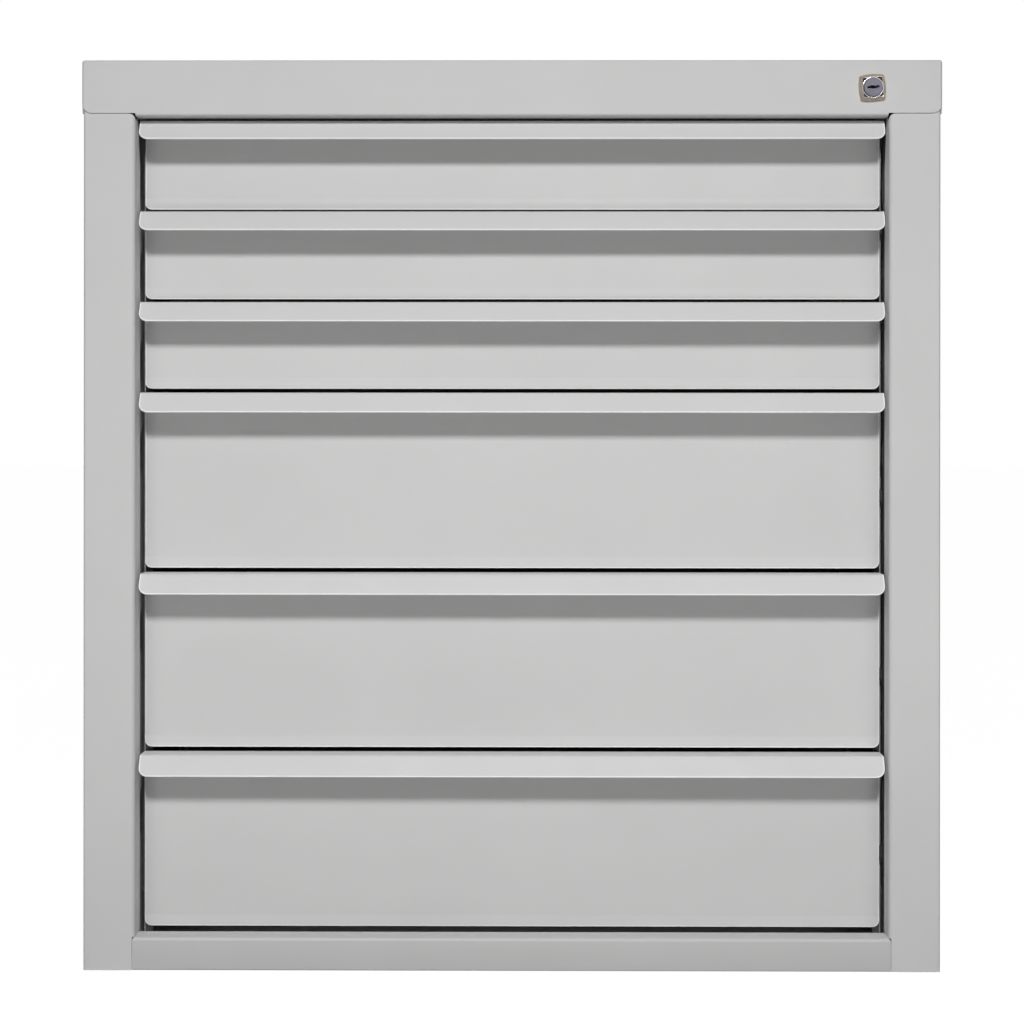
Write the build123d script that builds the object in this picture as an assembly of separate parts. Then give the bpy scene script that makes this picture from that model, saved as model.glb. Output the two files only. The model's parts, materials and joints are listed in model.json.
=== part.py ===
from build123d import *
import math
import os

# A steel drawer cabinet, in millimetres. X runs to the right, Y from front to back, Z up. Each piece is
# drawn with y = 0 on the front faces of the posts, so that a y is a depth behind them, and is moved by
# FRONT_Y when it is written, which puts the origin on the floor under the middle of the whole cabinet.

# The body
WIDTH = 800.0               # over the two side panels
HEIGHT = 850.0              # floor to the top of the cover
DEPTH = 600.0               # post faces to rear flanges
SHEET = 1.2                 # body sheet
BEND = 2.5                  # outer radius of a body fold
POST_BEND = 4.5             # outer radius where a post face turns into the opening
RAIL_BEND = 3.0             # outer radius along the top of the bottom rail
OPENING_HALF = 352.2        # half the clear width between the posts
POST_FLAT_HALF = 354.4      # where a post face ends beside the rail, where it isn't folded
POST_CORNER = 5.0           # rounding of the fold's upper end
RETURN_DEPTH = 13.0         # the part of the side panel that turns back into the opening
STIFFENER_SEAM = 1.0        # open seam between that return and the strip behind it
STIFFENER_DEPTH = 24.0      # back of the strip that closes the post behind that return
STIFFENER_WEB_TOP = 752.0   # above this the strip is tapered back
REAR_FLANGE = 30.0
TOP_FLANGE = 24.0

RIB_X = 180.0               # the two pressed ribs of the back panel
RIB_WIDTH = 18.0
RIB_DEPTH = 4.0
RIB_Z = (70.0, 730.0)

# The top cover
COVER_DROP = 49.5           # height of its flanges
COVER_FIT = 0.1             # between its flanges and the body
COVER_CORNER = 9.5          # rounding of the front flange's lower corners
COVER_RETURN = 20.0         # depth of the fold under the front flange
COVER_RETURN_DROP = 2.5     # how far that fold hangs below the flange
COVER_RETURN_BEND = 2.2

# The bottom rail and the floor
RAIL_HEIGHT = 30.5
RAIL_DEPTH = 24.0
RAIL_LIP = 10.0
RAIL_HALF = 354.1

# The drawers, from the top down: how many grid units tall each one is
DRAWER_UNITS = (1, 1, 1, 2, 2, 2)
UNIT = 85.2                 # height of one grid unit
FRONT_GAP = 3.8             # between one front and the next
LOWEST_FRONT = 32.5         # bottom edge of the lowest front
FRONT_HALF = 349.4          # half the width of a front
FRONT_SHEET = 1.5
FRONT_RECESS = 34.5         # depth of the flat of a front behind the post faces
BAND_HEIGHT = 10.5          # the kicked-out band along the bottom of a front
BAND_KICK = 1.2
BAND_CORNER = 6.5
LIP_EDGE_DEPTH = 1.5        # depth of the lip's lower edge, its foremost line
LIP_TOP_DEPTH = 11.6        # depth where the lip's flat top turns down
LIP_FACE = 18.5             # height of the lip's sloping face
LIP_CORNER = 9.0
FRONT_HEM = 2.7             # depth of the folded side edges behind a front

TRAY_HALF = 339.0
TRAY_SHEET = 1.0
TRAY_LENGTH = 530.0
TRAY_RISE = 3.0             # tray bottom above the bottom edge of its front
TRAY_HEIGHTS = {1: 62.0, 2: 146.0}
TRAY_RIM = 5.0              # width of the rolled rim
TRAY_RIM_HEIGHT = 3.0
TRAY_CORNER = 3.0

# The ball-bearing slides: three channels that nest, as (nearest x, farthest x, half height)
SLIDE_LINE = 27.0           # centre line above the bottom edge of the front
SLIDE_START = 50.0
SLIDE_LENGTH = 510.0
SLIDE_BEND = 2.0
OUTER_CHANNEL = (343.6, 352.2, 22.5)
MIDDLE_CHANNEL = (341.9, 349.0, 18.0)
INNER_CHANNEL = (339.0, 346.0, 13.0)

# The uprights that carry the slides
UPRIGHT_FRONT = (50.0, 90.0)
UPRIGHT_REAR = (520.0, 560.0)
UPRIGHT_FOOT = 14.0         # the flange that lies on the side wall behind an upright
UPRIGHT_SCREW = 15.0        # screw line behind an upright's front edge
UPRIGHT_SLOTS = 30.0        # slot line behind an upright's front edge
SLOT_WIDTH = 3.0
SLOT_HEIGHT = 12.0
SLOTS_PER_UNIT = 4

# The lock and its bar
LOCK_X = 335.6
LOCK_Z = 823.2
LOCK_TILT = 4.0             # the lock sits a little anticlockwise, seen from the front
BEZEL_SIZE = 27.0
BEZEL_BASE = 1.5            # thickness of the rosette at its outline
BEZEL_THICK = 6.0           # and at its raised middle
BEZEL_TAPER = 37.0          # slope of its four facets away from square
PLUG_PROUD = 1.2            # plug face in front of the bezel
PLUG_FACE_R = 8.8
PLUG_R = 6.0
HOUSING_R = 9.0
HOUSING_LENGTH = 26.0
RUNNING = 0.05              # radial clearance of the plug in its housing
CRANK = 8.5                 # cam axis to pin
CRANK_ANGLE = 45.0          # the pin stands this far above level when unlocked
PIN_R = 2.0
CAM_DEPTH = (28.0, 30.0)
BAR_DEPTH = (40.0, 42.5)
BAR_X = (353.5, 368.0)
BAR_BOTTOM = 78.0
FINGER_DEPTH = (42.5, 45.0)
FINGER_X = (341.0, 366.0)
FINGER_HEIGHT = 12.0
FINGER_LINE = 63.0          # underside of a finger above the front's bottom edge, unlocked
CATCH_LINE = (50.5, 58.0)   # underside and top of a catch above the front's bottom edge
CATCH_DEPTH = (47.0, 49.0)
CATCH_X = 347.5
GUIDE_LEVELS = (735.0, 480.0, 160.0)

# Fasteners
RIVET_R = 2.0
RIVET_HEAD_R = 4.2
RIVET_LEVELS = (60.0, 240.0, 420.0, 600.0, 770.0)
SCREW_R = 2.0
SCREW_HEAD_R = 3.6
HOLE_SLACK = 0.05

# Worked out from the dimensions above
COVER_FACE = -COVER_FIT - SHEET                 # depth of the cover's front face
COVER_BACK = DEPTH + COVER_FIT + SHEET
COVER_HALF = WIDTH / 2 + COVER_FIT + SHEET
COVER_BOTTOM = HEIGHT - COVER_DROP
UNDER_COVER = HEIGHT - SHEET
WALL_IN = WIDTH / 2 - SHEET                     # inner face of a side wall
POST_TOP = COVER_BOTTOM - 0.5                   # where the fold of a post ends, under the cover
LOCK_FRONT = BEZEL_THICK + PLUG_PROUD
FRONT_Y = (LOCK_FRONT - DEPTH) / 2
DRAWER_COUNT = len(DRAWER_UNITS)
TRAY_FRONT = FRONT_RECESS + FRONT_SHEET
FLANGE_MIDDLE = WIDTH / 2 - 16.0                # line of the rivets and screws at the back
COVER_SCREW_Z = HEIGHT - COVER_DROP / 2


def front_bottom(index):
    """Height of the bottom edge of a drawer front, counted from the top drawer."""
    units_below = sum(DRAWER_UNITS[index + 1:])
    return LOWEST_FRONT + units_below * UNIT


def front_top(index):
    """Height of the top of a drawer front's lip."""
    return front_bottom(index) + DRAWER_UNITS[index] * UNIT - FRONT_GAP


def block(x, y, z):
    """A box between two limits along each axis."""
    limits = (x, y, z)
    size = [high - low for low, high in limits]
    centre = [(high + low) / 2 for low, high in limits]
    return Pos(*centre) * Box(*size)


def rod(x, z, radius, y):
    """A round bar along Y between two depths."""
    return Pos(x, (y[0] + y[1]) / 2, z) * Rot(90, 0, 0) * Cylinder(radius, y[1] - y[0])


def cross_rod(y, z, radius, x):
    """A round bar along X between two limits."""
    return Pos((x[0] + x[1]) / 2, y, z) * Rot(0, 90, 0) * Cylinder(radius, x[1] - x[0])


def folded(path, radii, thickness=SHEET):
    """The section of a folded sheet that lies to the left of its outer path."""
    return make_face(offset(FilletPolyline(*path, radius=radii), amount=thickness, side=Side.LEFT))


def upright_sheet(section, z):
    """A section drawn in plan, as a sheet that stands between two heights."""
    return Pos(0, 0, z[0]) * extrude(section, amount=z[1] - z[0])


def level_sheet(section, half_width):
    """A section drawn as depth and height, as a sheet across the cabinet."""
    return extrude(Plane.YZ * section, amount=half_width, both=True)


def corner_cut(x, z, side, up, radius, y):
    """What is cut away to round the corner at (x, z) of a sheet that faces the front.
    side and up are +1 or -1 and point from the corner into the sheet."""
    spill = 1.0
    centre_x = x + side * radius
    centre_z = z + up * radius
    across = sorted((x - side * spill, centre_x))
    upward = sorted((z - up * spill, centre_z))
    return block(across, y, upward) - rod(centre_x, centre_z, radius, (y[0] - spill, y[1] + spill))


def both_sides(shape):
    """A shape on the right and its mirror image on the left."""
    return [shape, mirror(shape, about=Plane.YZ)]


def write(name, *solids):
    """Writes one node in the cabinet's own frame."""
    node = solids[0] if len(solids) == 1 else Compound(children=list(solids))
    export_step(Pos(0, FRONT_Y, 0) * node, f"parts/{name}.step")


# ---------------------------------------------------------------- body


def top_cover():
    """The cover: a shallow pan turned down over the body."""
    x = (-COVER_HALF, COVER_HALF)
    y = (COVER_FACE, COVER_BACK)
    z = (COVER_BOTTOM, HEIGHT)
    inner_x = (x[0] + SHEET, x[1] - SHEET)
    inner_y = (y[0] + SHEET, y[1] - SHEET)
    outside = block(x, y, z)
    top_edges = outside.faces().sort_by(Axis.Z)[-1].edges()
    outside = fillet(outside.edges().filter_by(Axis.Z) + top_edges, BEND)
    inside = block(inner_x, inner_y, (z[0] - 1, UNDER_COVER))
    pan = outside - fillet(inside.edges().filter_by(Axis.Z), BEND - SHEET)
    for side in (1, -1):
        pan -= corner_cut(side * COVER_HALF, COVER_BOTTOM, -side, 1, COVER_CORNER, (COVER_FACE - 1, 0.0))
    pan -= rod(LOCK_X, LOCK_Z, HOUSING_R + HOLE_SLACK, (COVER_FACE - 1, 1))
    for x_place in (-FLANGE_MIDDLE, 0, FLANGE_MIDDLE):
        pan -= rod(x_place, COVER_SCREW_Z, SCREW_HEAD_R + HOLE_SLACK, (DEPTH, COVER_BACK + 1))
    return pan


def cover_return():
    """The strip that curls back under the cover's front flange, between the posts."""
    lowest = COVER_BOTTOM - COVER_RETURN_DROP
    path = [(COVER_FACE, COVER_BOTTOM), (COVER_FACE, lowest), (COVER_RETURN, lowest)]
    return level_sheet(folded(path, [COVER_RETURN_BEND]), OPENING_HALF - 1)


def side_panel():
    """The right side: post face, wall and rear flange from one sheet, with flanges top and bottom."""
    half = WIDTH / 2
    path = [
        (OPENING_HALF, RETURN_DEPTH),
        (OPENING_HALF, 0),
        (half, 0),
        (half, DEPTH),
        (half - REAR_FLANGE, DEPTH),
    ]
    panel = upright_sheet(folded(path, [POST_BEND, BEND, BEND]), (0, UNDER_COVER))
    fold_half = OPENING_HALF + POST_BEND
    fold_depth = (-1, RETURN_DEPTH + 1)
    panel -= block((OPENING_HALF - 1, fold_half), fold_depth, (-1, RAIL_HEIGHT + 0.3))
    panel += block((POST_FLAT_HALF, fold_half), (0, SHEET), (0, RAIL_HEIGHT + 0.3))
    panel -= block((OPENING_HALF - 1, POST_FLAT_HALF), fold_depth, (POST_TOP, HEIGHT))
    corner_x = (OPENING_HALF - 2, OPENING_HALF + POST_CORNER)
    rounding = corner_cut(OPENING_HALF, POST_TOP, 1, -1, POST_CORNER, (-1, POST_BEND))
    panel -= rounding & block(corner_x, (-2, POST_BEND + 1), (POST_TOP - 9, POST_TOP))
    flange_y = (30.0, DEPTH - 30)
    flange_x = (WALL_IN - TOP_FLANGE, WALL_IN)
    panel += block(flange_x, flange_y, (UNDER_COVER - SHEET, UNDER_COVER))
    panel += block(flange_x, flange_y, (SHEET, 2 * SHEET))
    for level in RIVET_LEVELS:
        panel -= rod(FLANGE_MIDDLE, level, RIVET_R + HOLE_SLACK, (DEPTH - 5, DEPTH + 1))
    panel -= rod(FLANGE_MIDDLE, COVER_SCREW_Z, SCREW_R + HOLE_SLACK, (DEPTH - 5, DEPTH + 1))
    return panel


def post_stiffener():
    """The strip that closes the right post behind its return, tapered back at the top."""
    seam = RETURN_DEPTH + STIFFENER_SEAM
    x = (OPENING_HALF, OPENING_HALF + SHEET)
    web_z = (RAIL_HEIGHT + 1, STIFFENER_WEB_TOP)
    leg = block(x, (seam, STIFFENER_DEPTH), (web_z[0], POST_TOP))
    taper = Polyline(
        (STIFFENER_DEPTH, STIFFENER_WEB_TOP),
        (STIFFENER_DEPTH, POST_TOP),
        (seam + 1, POST_TOP),
        close=True,
    )
    leg -= Pos(OPENING_HALF, 0, 0) * level_sheet(make_face(taper), 5)
    web = block((x[1], WALL_IN), (STIFFENER_DEPTH - SHEET, STIFFENER_DEPTH), web_z)
    return leg + web


def bottom_rail():
    """The rail under the drawers, flush with the posts, with an ear behind each post face."""
    path = [
        (RAIL_DEPTH, RAIL_HEIGHT - RAIL_LIP),
        (RAIL_DEPTH, RAIL_HEIGHT),
        (0, RAIL_HEIGHT),
        (0, 0),
        (RAIL_DEPTH, 0),
    ]
    rail = level_sheet(folded(path, [BEND, RAIL_BEND, 1.5]), RAIL_HALF)
    for side in (1, -1):
        rail -= corner_cut(side * RAIL_HALF, RAIL_HEIGHT, -side, -1, 3.0, (-1, RAIL_BEND))
        ear_x = sorted((side * (RAIL_HALF - 12), side * 386))
        rail += block(ear_x, (SHEET, 2 * SHEET), (3, RAIL_HEIGHT - 4))
    return rail


def floor_panel():
    """The floor sheet, which the whole cabinet stands on, turned up along the back."""
    y = (RAIL_DEPTH + 0.5, DEPTH - BEND - SHEET)
    sheet = block((-WALL_IN, WALL_IN), y, (0, SHEET))
    upstand_half = WALL_IN - REAR_FLANGE
    return sheet + block((-upstand_half, upstand_half), (y[1] - SHEET, y[1]), (0, 20))


def back_panel():
    """The back sheet inside the rear flanges, with two pressed ribs."""
    outer_y = DEPTH - SHEET
    x_edge = WALL_IN - 2
    sheet = block((-x_edge, x_edge), (outer_y - SHEET, outer_y), (SHEET + 0.3, HEIGHT - 5))
    for rib_x in (-RIB_X, RIB_X):
        half = RIB_WIDTH / 2
        rib = block((rib_x - half, rib_x + half), (outer_y - RIB_DEPTH, outer_y - SHEET), RIB_Z)
        rib = fillet(rib.edges().filter_by(Axis.Y), half - 0.1)
        sheet += chamfer(rib.faces().sort_by(Axis.Y)[0].edges(), 2.0)
        half -= 2
        groove_z = (RIB_Z[0] + 2, RIB_Z[1] - 2)
        groove = block((rib_x - half, rib_x + half), (outer_y - RIB_DEPTH / 2, outer_y), groove_z)
        sheet -= fillet(groove.edges().filter_by(Axis.Y), half - 0.1)
    for side in (1, -1):
        for level in RIVET_LEVELS:
            sheet -= rod(side * FLANGE_MIDDLE, level, RIVET_R + HOLE_SLACK, (outer_y - 5, DEPTH))
    for x_place in (-FLANGE_MIDDLE, 0, FLANGE_MIDDLE):
        sheet -= rod(x_place, COVER_SCREW_Z, SCREW_R + HOLE_SLACK, (outer_y - 5, DEPTH))
    return sheet


def upright(y):
    """A punched strip on the right, folded outwards at its back and again to a foot on the side wall."""
    foot_x = WALL_IN - SHEET
    path = [
        (foot_x, y[1] + UPRIGHT_FOOT),
        (foot_x, y[1]),
        (OPENING_HALF, y[1]),
        (OPENING_HALF, y[0]),
    ]
    strip = upright_sheet(folded(path, [BEND - SHEET, BEND]), (2 * SHEET, UNDER_COVER - SHEET))
    through = (OPENING_HALF - 1, OPENING_HALF + SHEET + 1)
    slot_y = y[0] + UPRIGHT_SLOTS
    slot_count = sum(DRAWER_UNITS) * SLOTS_PER_UNIT
    slots = [
        block(through, (slot_y - SLOT_WIDTH / 2, slot_y + SLOT_WIDTH / 2), (z, z + SLOT_HEIGHT))
        for z in (LOWEST_FRONT + 8 + UNIT / SLOTS_PER_UNIT * step for step in range(slot_count))
    ]
    holes = [
        cross_rod(y[0] + UPRIGHT_SCREW, front_bottom(index) + SLIDE_LINE, SCREW_R + HOLE_SLACK, through)
        for index in range(DRAWER_COUNT)
    ]
    return strip - slots - holes


# ---------------------------------------------------------------- slides


def channel(limits, line, opens_in):
    """One slide channel on the right side. It opens towards the drawer, or away from it."""
    near, far, half = limits
    if opens_in:
        path = [(near, -half), (far, -half), (far, half), (near, half)]
    else:
        path = [(far, half), (near, half), (near, -half), (far, -half)]
    section = Plane.XZ * folded(path, [SLIDE_BEND, SLIDE_BEND])
    return Pos(0, SLIDE_START, line) * extrude(section, amount=SLIDE_LENGTH, dir=(0, 1, 0))


def slide_line(index):
    """Height of the centre line of a drawer's slides."""
    return front_bottom(index) + SLIDE_LINE


def screw_depths():
    """Depths of the two screws that hold each outer channel."""
    return [UPRIGHT_FRONT[0] + UPRIGHT_SCREW, UPRIGHT_REAR[0] + UPRIGHT_SCREW]


def outer_channel(index):
    """The fixed channel of one drawer on the right."""
    rail = channel(OUTER_CHANNEL, slide_line(index), True)
    far = OUTER_CHANNEL[1]
    for depth in screw_depths():
        rail -= cross_rod(depth, slide_line(index), SCREW_R + HOLE_SLACK, (far - 2, far + 1))
    return rail


def slide_screw(depth, line):
    """A low-headed screw from an outer channel into its upright."""
    web = OUTER_CHANNEL[1] - SHEET
    head = cross_rod(depth, line, SCREW_HEAD_R, (web - 1.1, web))
    shank = cross_rod(depth, line, SCREW_R, (web, OPENING_HALF + 5))
    return head + shank


# ---------------------------------------------------------------- drawers


def drawer_front(index):
    """A front: one sheet with a kicked-out band at the bottom and a lip folded forward at the top."""
    bottom = front_bottom(index)
    top = front_top(index)
    back = FRONT_RECESS + FRONT_SHEET
    lip_edge = top - LIP_FACE
    # The outer path runs up the back of the front and over the lip, so the sheet lies to its left.
    path = [
        (back - BAND_KICK, bottom),
        (back, bottom + BAND_HEIGHT),
        (back, top),
        (LIP_TOP_DEPTH, top),
        (LIP_EDGE_DEPTH, lip_edge),
    ]
    front = level_sheet(folded(path, [4.0, 3.0, 3.0], FRONT_SHEET), FRONT_HALF)
    for side in (1, -1):
        edge = side * FRONT_HALF
        front -= corner_cut(edge, bottom, -side, 1, BAND_CORNER, (FRONT_RECESS - 6, back + 1))
        front -= corner_cut(edge, lip_edge, -side, 1, LIP_CORNER, (0, LIP_TOP_DEPTH + 3))
        hem_x = sorted((edge, edge - side * SHEET))
        front += block(hem_x, (back - 0.4, back + FRONT_HEM), (bottom + BAND_HEIGHT + 2, top - 4))
    return front


def drawer_tray(index):
    """A tray behind its front: a bottom and four walls with a rolled rim."""
    low = front_bottom(index) + TRAY_RISE
    high = low + TRAY_HEIGHTS[DRAWER_UNITS[index]]
    y = (TRAY_FRONT, TRAY_FRONT + TRAY_LENGTH)
    outside = block((-TRAY_HALF, TRAY_HALF), y, (low, high))
    outside = fillet(outside.edges().filter_by(Axis.Z), TRAY_CORNER)
    half = TRAY_HALF - TRAY_SHEET
    inside_y = (y[0] + TRAY_SHEET, y[1] - TRAY_SHEET)
    inside = block((-half, half), inside_y, (low + TRAY_SHEET, high - TRAY_RIM_HEIGHT))
    inside = fillet(inside.edges().filter_by(Axis.Z), TRAY_CORNER - TRAY_SHEET)
    rim_half = TRAY_HALF - TRAY_RIM
    mouth = block((-rim_half, rim_half), (y[0] + TRAY_RIM, y[1] - TRAY_RIM), (low + 10, high + 1))
    mouth = fillet(mouth.edges().filter_by(Axis.Z), TRAY_CORNER)
    return outside - inside - mouth


def drawer_catch(index):
    """The angle on the right of a tray that a lowered finger holds back."""
    bottom = front_bottom(index)
    z = (bottom + CATCH_LINE[0], bottom + CATCH_LINE[1])
    tab = block((TRAY_HALF, CATCH_X), CATCH_DEPTH, z)
    foot = block((TRAY_HALF, TRAY_HALF + SHEET), (CATCH_DEPTH[0], CATCH_DEPTH[1] + 26), z)
    angle = tab + foot
    return fillet(angle.edges().filter_by(Axis.Z).sort_by(Axis.X)[-2:], 0.8)


# ---------------------------------------------------------------- lock


def tilted(shape):
    """Turns a piece of the lock with its small tilt about the lock's own axis."""
    return Pos(LOCK_X, 0, LOCK_Z) * Rot(0, -LOCK_TILT, 0) * shape


def lock_bezel():
    """The square rosette around the plug, four facets up to a raised middle, hollow for the housing's flange."""
    half = BEZEL_SIZE / 2
    front = COVER_FACE - BEZEL_THICK
    plate = block((-half, half), (COVER_FACE - BEZEL_BASE, COVER_FACE), (-half, half))
    plate = fillet(plate.edges().filter_by(Axis.Y), 4.0)
    outline = plate.faces().sort_by(Axis.Y)[0]
    plate += extrude(outline, amount=BEZEL_THICK - BEZEL_BASE, taper=BEZEL_TAPER)
    plate -= rod(0, 0, PLUG_FACE_R + 0.3, (front - 1, 1))
    plate -= rod(0, 0, HOUSING_R + 1.6, (COVER_FACE - 1, COVER_FACE + 1))
    return tilted(plate)


def lock_housing():
    """The fixed barrel of the lock with its thin front flange."""
    flange = rod(0, 0, HOUSING_R + 1.5, (COVER_FACE - 1, COVER_FACE))
    barrel = rod(0, 0, HOUSING_R, (COVER_FACE, COVER_FACE + HOUSING_LENGTH))
    bore = rod(0, 0, PLUG_R + RUNNING, (COVER_FACE - 2, COVER_FACE + HOUSING_LENGTH + 1))
    return Pos(LOCK_X, 0, LOCK_Z) * (flange + barrel - bore)


def lock_nut():
    """The hexagon nut that clamps the housing behind the cover's flange."""
    thick = 5.0
    hexagon = Plane.XZ * RegularPolygon(12.0, 6, major_radius=False)
    nut = extrude(hexagon, amount=thick, dir=(0, 1, 0))
    nut -= rod(0, 0, HOUSING_R + HOLE_SLACK, (-1, thick + 1))
    return Pos(LOCK_X, -COVER_FIT, LOCK_Z) * nut


def keyway():
    """The stepped slot in the face of the plug, as an outline across it."""
    upper = [(-5.6, 0.9), (-3.4, 0.9), (-2.6, 1.7), (-0.6, 1.7)]
    upper += [(0.2, 0.8), (2.2, 0.8), (3.0, 1.4), (5.6, 1.4)]
    lower = [(5.6, -0.4), (3.4, -0.4), (2.6, -1.2), (-1.4, -1.2), (-2.2, -0.9), (-5.6, -0.9)]
    outline = Polyline(*upper, *lower, close=True)
    return Plane.XZ * make_face(outline)


def lock_plug():
    """The part that the key turns: a broad face, a stem and a square end that drives the cam."""
    face_y = COVER_FACE - LOCK_FRONT
    flange_y = COVER_FACE - 1.3
    face = rod(0, 0, PLUG_FACE_R, (face_y, flange_y))
    face = chamfer(face.edges().sort_by(Axis.Y)[0], 0.5)
    stem = rod(0, 0, PLUG_R, (flange_y, CAM_DEPTH[0]))
    square = block((-4, 4), CAM_DEPTH, (-4, 4))
    plug = face + stem + square
    plug -= Pos(0, face_y - 1, 0) * extrude(keyway(), amount=5, dir=(0, 1, 0))
    plug -= rod(0, 0, SCREW_R + HOLE_SLACK, (CAM_DEPTH[1] - 12, CAM_DEPTH[1] + 1))
    return tilted(plug)


def pin_place():
    """Where the cam's pin stands when the lock is open, beside and above the lock's axis."""
    angle = math.radians(CRANK_ANGLE)
    return CRANK * math.cos(angle), CRANK * math.sin(angle)


def lock_cam():
    """The cam on the plug's square end, with the pin that lifts and lowers the bar."""
    pin_x, pin_z = pin_place()
    hub = rod(0, 0, 7.5, CAM_DEPTH)
    nose = rod(pin_x, pin_z, 4.2, CAM_DEPTH)
    middle = block((0, CRANK), CAM_DEPTH, (-4.2, 4.2))
    arm = Rot(0, -CRANK_ANGLE, 0) * middle
    pin = rod(pin_x, pin_z, PIN_R, (CAM_DEPTH[0], BAR_DEPTH[1] + 1.5))
    hole = Rot(0, -LOCK_TILT, 0) * block((-4, 4), (CAM_DEPTH[0] - 1, CAM_DEPTH[1] + 1), (-4, 4))
    return Pos(LOCK_X, 0, LOCK_Z) * (hub + nose + arm + pin - hole)


def cam_screw():
    """The screw that holds the cam on the plug."""
    seat = CAM_DEPTH[1]
    head = rod(LOCK_X, LOCK_Z, 5.8, (seat, seat + 2.4))
    head = chamfer(head.edges().sort_by(Axis.Y)[-1], 0.6)
    return head + rod(LOCK_X, LOCK_Z, SCREW_R, (seat - 11, seat))


def locking_bar():
    """The flat bar behind the right post, with a head that reaches over the cam."""
    pin_x, pin_z = pin_place()
    head_z = (LOCK_Z - 16, LOCK_Z + 14)
    bar = block(BAR_X, BAR_DEPTH, (BAR_BOTTOM, head_z[1]))
    bar += block((LOCK_X - 14, BAR_X[1]), BAR_DEPTH, head_z)
    bar = fillet(bar.edges().filter_by(Axis.Y), 2.5)
    slot_half = PIN_R + 0.6
    slot_x = LOCK_X + (pin_x + CRANK) / 2
    slot_z = LOCK_Z + pin_z
    through = (BAR_DEPTH[0] - 1, BAR_DEPTH[1] + 1)
    run = 2.8
    slot = block((slot_x - run, slot_x + run), through, (slot_z - slot_half, slot_z + slot_half))
    slot += rod(slot_x - run, slot_z, slot_half, through) + rod(slot_x + run, slot_z, slot_half, through)
    return bar - slot


def bar_finger(index):
    """A plate on the back of the bar that drops in front of a drawer's catch."""
    low = front_bottom(index) + FINGER_LINE
    finger = block(FINGER_X, FINGER_DEPTH, (low, low + FINGER_HEIGHT))
    return fillet(finger.edges().filter_by(Axis.Y), 1.5)


def bar_guide(level):
    """A clip on the back of the post's strip that keeps the bar in its line."""
    half = 10.0
    thick = 1.6
    z = (level - half, level + half)
    front_y = BAR_DEPTH[0] - 2.2
    leg_x = (BAR_X[1] + 0.6, BAR_X[1] + 0.6 + thick)
    plate = block((BAR_X[0] - 1, leg_x[1]), (front_y, front_y + thick), z)
    leg = block(leg_x, (STIFFENER_DEPTH, BAR_DEPTH[1] + 2), z)
    foot = block((leg_x[0], leg_x[1] + 14), (STIFFENER_DEPTH, STIFFENER_DEPTH + thick), z)
    return plate + leg + foot


# ---------------------------------------------------------------- fasteners


def back_rivet(x, level):
    """A dome-headed rivet through a rear flange and the back panel."""
    head_r, rise = RIVET_HEAD_R, 1.2
    dome_r = (head_r**2 + rise**2) / (2 * rise)
    dome = Pos(x, DEPTH + rise - dome_r, level) * Sphere(dome_r)
    head = dome & rod(x, level, head_r + 1, (DEPTH, DEPTH + rise + 1))
    shank = rod(x, level, RIVET_R, (DEPTH - 2 * SHEET - 1, DEPTH))
    return head + shank + rod(x, level, RIVET_R + 0.8, (DEPTH - 2 * SHEET - 2.2, DEPTH - 2 * SHEET))


def cover_screw(x):
    """A flush screw through the cover's rear flange."""
    head = rod(x, COVER_SCREW_Z, SCREW_HEAD_R, (DEPTH + COVER_FIT, COVER_BACK))
    head -= rod(x, COVER_SCREW_Z, 1.4, (COVER_BACK - 0.8, COVER_BACK + 1))
    # Between the cover and the body, the middle one crosses the depth of the rear flanges as well.
    return head + rod(x, COVER_SCREW_Z, SCREW_R, (DEPTH - 9, DEPTH + COVER_FIT))


# ---------------------------------------------------------------- the cabinet


def write_body():
    """Writes the fixed sheet-metal pieces."""
    write("top_cover", top_cover())
    write("cover_return", cover_return())
    write("bottom_rail", bottom_rail())
    write("floor_panel", floor_panel())
    write("back_panel", back_panel())
    pairs = {
        "side_panel": side_panel(),
        "post_stiffener": post_stiffener(),
        "upright_front": upright(UPRIGHT_FRONT),
        "upright_rear": upright(UPRIGHT_REAR),
    }
    for name, piece in pairs.items():
        right, left = both_sides(piece)
        write(f"{name}_right", right)
        write(f"{name}_left", left)


def write_fasteners():
    """Writes the rivets and screws, each kind as one group."""
    rivets = []
    for level in RIVET_LEVELS:
        rivets += both_sides(back_rivet(FLANGE_MIDDLE, level))
    write("back_rivets", *rivets)
    write("cover_screws", *[cover_screw(x) for x in (-FLANGE_MIDDLE, 0, FLANGE_MIDDLE)])
    screws = []
    for index in range(DRAWER_COUNT):
        for depth in screw_depths():
            screws += both_sides(slide_screw(depth, slide_line(index)))
    write("slide_screws", *screws)


def write_drawers():
    """Writes each drawer and its slides, numbered from the top."""
    rights = []
    lefts = []
    for index in range(DRAWER_COUNT):
        number = index + 1
        line = slide_line(index)
        right, left = both_sides(outer_channel(index))
        rights.append(right)
        lefts.append(left)
        write(f"slide_middle_{number}", *both_sides(channel(MIDDLE_CHANNEL, line, True)))
        write(f"slide_inner_{number}", *both_sides(channel(INNER_CHANNEL, line, False)))
        write(f"drawer_front_{number}", drawer_front(index))
        write(f"drawer_tray_{number}", drawer_tray(index))
        write(f"drawer_catch_{number}", drawer_catch(index))
    write("slide_outer_right", *rights)
    write("slide_outer_left", *lefts)


def write_lock():
    """Writes the lock, the bar that it moves and the clips that guide the bar."""
    write("lock_bezel", lock_bezel())
    write("lock_housing", lock_housing())
    write("lock_nut", lock_nut())
    write("lock_plug", lock_plug())
    write("lock_cam", lock_cam())
    write("cam_screw", cam_screw())
    write("locking_bar", locking_bar())
    write("bar_fingers", *[bar_finger(index) for index in range(DRAWER_COUNT)])
    write("bar_guides", *[bar_guide(level) for level in GUIDE_LEVELS])


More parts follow.
